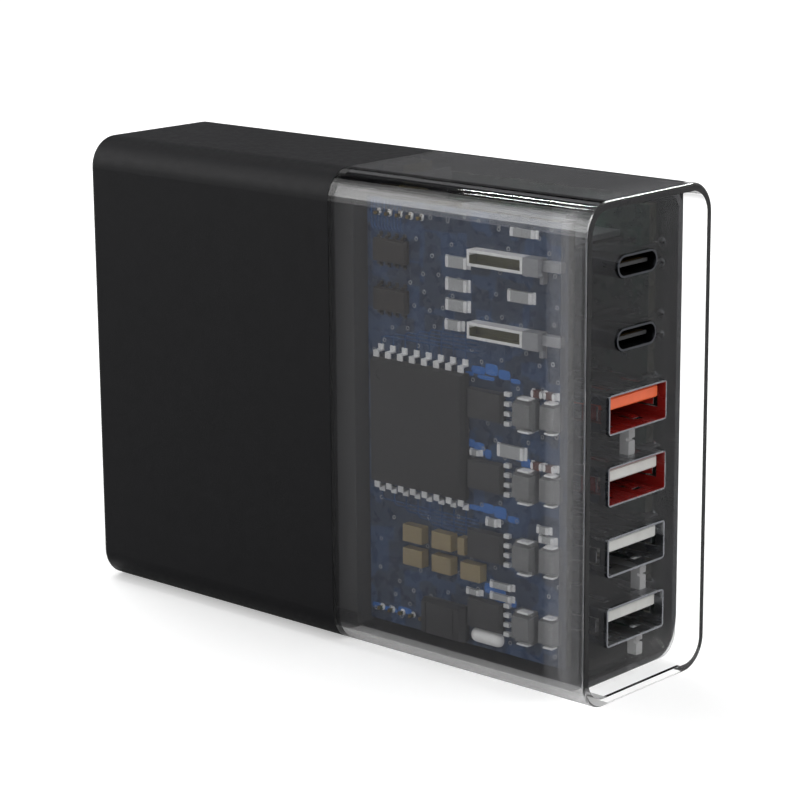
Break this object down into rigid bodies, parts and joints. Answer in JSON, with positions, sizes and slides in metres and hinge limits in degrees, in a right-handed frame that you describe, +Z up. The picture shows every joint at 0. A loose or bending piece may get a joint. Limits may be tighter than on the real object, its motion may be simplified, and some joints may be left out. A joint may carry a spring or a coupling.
{
  "type": "multi port usb desktop charger",
  "caption": "Slab-shaped mains charger with a black rear half, a clear front half over a smoked liner, a recessed port panel and its boards inside.",
  "frame": {"origin": "middle of the long narrow face it stands on", "axes": "+X from the mains inlet to the ports, +Y through the thickness to the main board's side, +Z up"},
  "size_m": [0.097, 0.028, 0.0705],
  "materials": {
    "housing_black": "fine matte moulded black",
    "clear_plastic": "clear polished moulding",
    "smoked_plastic": "smoked see-through moulding",
    "black_plastic": "moulded black",
    "pin_metal": "tinned bright metal",
    "copper": "bare and enamelled copper",
    "blue_board": "blue solder mask",
    "shell_steel": "plated pressed steel",
    "orange_plastic": "orange moulded insulator",
    "white_plastic": "white moulded insulator",
    "silicone": "white silicone",
    "contact_gold": "gold plated contact",
    "chip_epoxy": "moulded epoxy",
    "cased_metal": "satin metal case",
    "bright_bar": "bright plated bar",
    "aluminium": "mill finish",
    "tan_ceramic": "tan ceramic",
    "brown_ceramic": "red brown ceramic",
    "yellow_film": "yellow film and tape",
    "ferrite": "sintered ferrite",
    "blue_sleeve": "shrunk sleeve and dipped coat"
  },
  "bodies": {
    "root": {"rear_housing": "housing_black", "front_sleeve": "clear_plastic", "smoked_liner": "smoked_plastic", "port_panel": "smoked_plastic", "inlet_body": "black_plastic", "inlet_pins": "pin_metal", "inlet_leads": "copper", "main_board": "blue_board", "converter_board": "blue_board", "insulation_barrier": "black_plastic", "usb_a_shell_1": "shell_steel", "usb_a_shell_2": "shell_steel", "usb_a_shell_3": "shell_steel", "usb_a_shell_4": "shell_steel", "usb_a_tongue_1": "orange_plastic", "usb_a_tongue_2": "white_plastic", "usb_a_tongue_3": "white_plastic", "usb_a_tongue_4": "white_plastic", "usb_a_contacts_1": "contact_gold", "usb_a_contacts_2": "contact_gold", "usb_a_contacts_3": "contact_gold", "usb_a_contacts_4": "contact_gold", "usb_c_shell_1": "shell_steel", "usb_c_shell_2": "shell_steel", "usb_c_tongue_1": "black_plastic", "usb_c_tongue_2": "black_plastic", "usb_c_contacts_1": "contact_gold", "usb_c_contacts_2": "contact_gold", "controller_body": "chip_epoxy", "controller_leads": "pin_metal", "driver_chips": "chip_epoxy", "port_chips": "chip_epoxy", "port_chip_leads": "pin_metal", "filter_chokes": "cased_metal", "polymer_capacitors": "cased_metal", "tan_capacitors": "tan_ceramic", "chip_resistors": "cased_metal", "output_bars": "bright_bar", "bar_clamps": "cased_metal", "boost_inductor": "black_plastic", "link_headers": "black_plastic", "link_pins": "contact_gold", "heat_spreader": "aluminium", "output_capacitors": "cased_metal", "film_capacitor": "yellow_film", "port_spacers": "white_plastic", "ceramic_capacitors": "brown_ceramic", "fixing_bead": "silicone", "transformer_core": "ferrite", "transformer_bobbin": "black_plastic", "transformer_winding": "yellow_film", "bulk_capacitors": "blue_sleeve", "choke_core": "ferrite", "choke_windings": "copper", "interference_capacitor": "yellow_film", "bridge_rectifier": "black_plastic", "switch_heatsink": "aluminium", "power_switch": "black_plastic", "fuse": "brown_ceramic", "disc_capacitor": "blue_sleeve"}
  },
  "joints": []
}
